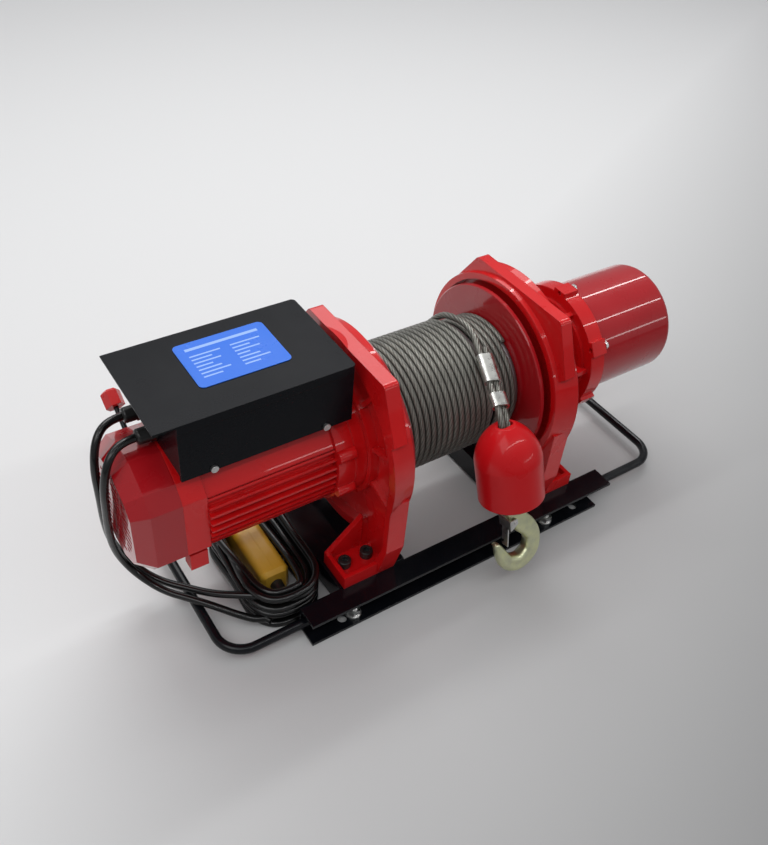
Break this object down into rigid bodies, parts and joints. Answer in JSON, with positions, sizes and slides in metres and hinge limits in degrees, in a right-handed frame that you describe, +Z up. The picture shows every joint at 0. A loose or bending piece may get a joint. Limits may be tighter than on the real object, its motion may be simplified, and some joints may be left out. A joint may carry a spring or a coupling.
{
  "type": "electric winch",
  "caption": "Electric drum winch with a braked motor, planetary gearbox, control box, wire rope with weighted hook and hand-held pendant, on a two-rail base with carrying bars.",
  "frame": {"origin": "centre of the four base holes, on the underside of the base, below the middle of the drum", "axes": "+X along the drum's axis towards the gearbox, +Y to the back, away from the side the rope leaves, +Z up"},
  "size_m": [0.7851, 0.3415, 0.3378],
  "materials": {
    "red_paint": "gloss",
    "black_paint": "satin",
    "zinc_steel": "zinc plated",
    "yellow_zinc": "yellow zinc plated",
    "dark_rope": "oiled wire rope",
    "bright_steel": "machined",
    "lamination_steel": "stacked plates",
    "aluminium": "satin",
    "blue_label": "satin",
    "black_cord": "satin",
    "black_plastic": "satin",
    "yellow_plastic": "satin",
    "red_plastic": "gloss",
    "white_plastic": "satin"
  },
  "bodies": {
    "base": {"bearings": "bright_steel", "box_base": "black_paint", "box_cover": "black_paint", "box_electrics": "white_plastic", "brake_coil": "bright_steel", "cable_glands": "black_plastic", "collar_screws": "zinc_steel", "cover_screws": "zinc_steel", "cross_members": "black_paint", "foot_screws": "zinc_steel", "front_rail": "black_paint", "front_shield": "red_paint", "gear_cap": "red_paint", "gear_housing": "red_paint", "handle_bars": "black_paint", "left_bracket": "red_paint", "mains_plug": "black_plastic", "motor_frame": "red_paint", "pendant_back": "yellow_plastic", "pendant_cord": "black_cord", "pendant_front": "yellow_plastic", "pendant_hank": "black_cord", "plug_cord": "black_cord", "power_cord": "black_cord", "power_hank": "black_cord", "rail_studs": "zinc_steel", "rating_plate": "blue_label", "rear_rail": "black_paint", "rear_shield": "red_paint", "right_bracket": "red_paint", "ring_gear": "bright_steel", "rope_ferrules": "aluminium", "rope_tail": "dark_rope", "stator": "lamination_steel", "tail_cowl": "red_paint", "weight": "red_paint"},
    "drum": {"drum_tube": "red_paint", "drum_flanges": "red_paint", "rope_winding": "dark_rope", "output_shaft": "bright_steel"},
    "rotor_set": {"motor_shaft": "bright_steel", "rotor": "lamination_steel", "shaft_coupling": "bright_steel", "drive_shaft": "bright_steel", "cooling_fan": "black_plastic", "brake_disc": "bright_steel"},
    "fast_carrier": {"first_carrier": "bright_steel"},
    "swivel_hook": {"hook": "yellow_zinc"},
    "latch": {"hook_latch": "zinc_steel"},
    "lever": {"release_lever": "zinc_steel", "lever_knob": "red_plastic"},
    "up": {"up_button": "black_plastic"},
    "down": {"down_button": "black_plastic"},
    "stop": {"stop_button": "red_plastic"},
    "first_planet_1": {"first_planet_1": "bright_steel"},
    "first_planet_2": {"first_planet_2": "bright_steel"},
    "first_planet_3": {"first_planet_3": "bright_steel"},
    "second_planet_1": {"second_planet_1": "bright_steel"},
    "second_planet_2": {"second_planet_2": "bright_steel"},
    "second_planet_3": {"second_planet_3": "bright_steel"}
  },
  "joints": [
    {"name": "drum_spin", "type": "hinge", "parent": "base", "child": "drum", "pos_m": [0, 0, 0.19], "axis": [1, 0, 0], "continuous": true},
    {"name": "rotor_spin", "type": "hinge", "parent": "base", "child": "rotor_set", "pos_m": [-0.25, 0, 0.19], "axis": [1, 0, 0], "continuous": true},
    {"name": "fast_carrier_spin", "type": "hinge", "parent": "base", "child": "fast_carrier", "pos_m": [0.283, 0, 0.19], "axis": [1, 0, 0], "continuous": true},
    {"name": "first_planet_1_spin", "type": "hinge", "parent": "fast_carrier", "child": "first_planet_1", "pos_m": [0.3, 0, 0.22375], "axis": [1, 0, 0], "continuous": true},
    {"name": "first_planet_2_spin", "type": "hinge", "parent": "fast_carrier", "child": "first_planet_2", "pos_m": [0.3, -0.02923, 0.17313], "axis": [1, 0, 0], "continuous": true},
    {"name": "first_planet_3_spin", "type": "hinge", "parent": "fast_carrier", "child": "first_planet_3", "pos_m": [0.3, 0.02923, 0.17313], "axis": [1, 0, 0], "continuous": true},
    {"name": "second_planet_1_spin", "type": "hinge", "parent": "drum", "child": "second_planet_1", "pos_m": [0.256, 0, 0.22375], "axis": [1, 0, 0], "continuous": true},
    {"name": "second_planet_2_spin", "type": "hinge", "parent": "drum", "child": "second_planet_2", "pos_m": [0.256, -0.02923, 0.17313], "axis": [1, 0, 0], "continuous": true},
    {"name": "second_planet_3_spin", "type": "hinge", "parent": "drum", "child": "second_planet_3", "pos_m": [0.256, 0.02923, 0.17313], "axis": [1, 0, 0], "continuous": true},
    {"name": "hook_swivel", "type": "hinge", "parent": "base", "child": "swivel_hook", "pos_m": [0.02863, -0.15984, 0.12702], "axis": [-0.0876, 0.2531, 0.9635], "continuous": true},
    {"name": "latch_pivot", "type": "hinge", "parent": "swivel_hook", "child": "latch", "pos_m": [0.02543, -0.16654, 0.1015], "axis": [0, -0.9672, 0.254], "range_deg": [0, 30], "stiffness_Nm_per_rad": 0.05, "springref_deg": -17.19},
    {"name": "brake_release", "type": "hinge", "parent": "base", "child": "lever", "pos_m": [-0.356, 0.04629, 0.21781], "axis": [0, -0.515, 0.8572], "range_deg": [0, 8], "stiffness_Nm_per_rad": 4, "springref_deg": -5.73},
    {"name": "up_press", "type": "slide", "parent": "base", "child": "up", "axis": [-1, 0, 0], "range_m": [0, 0.003], "stiffness_N_per_m": 600, "springref_m": -0.001},
    {"name": "down_press", "type": "slide", "parent": "base", "child": "down", "axis": [-1, 0, 0], "range_m": [0, 0.003], "stiffness_N_per_m": 600, "springref_m": -0.001},
    {"name": "stop_press", "type": "slide", "parent": "base", "child": "stop", "axis": [-1, 0, 0], "range_m": [0, 0.003], "stiffness_N_per_m": 600, "springref_m": -0.001}
  ],
  "couplings": [
    {"joint": "rotor_spin", "follows": "drum_spin", "ratio": 36},
    {"joint": "fast_carrier_spin", "follows": "drum_spin", "ratio": 6},
    {"joint": "first_planet_1_spin", "follows": "drum_spin", "ratio": -15},
    {"joint": "first_planet_2_spin", "follows": "drum_spin", "ratio": -15},
    {"joint": "first_planet_3_spin", "follows": "drum_spin", "ratio": -15},
    {"joint": "second_planet_1_spin", "follows": "drum_spin", "ratio": -2.5},
    {"joint": "second_planet_2_spin", "follows": "drum_spin", "ratio": -2.5},
    {"joint": "second_planet_3_spin", "follows": "drum_spin", "ratio": -2.5}
  ]
}
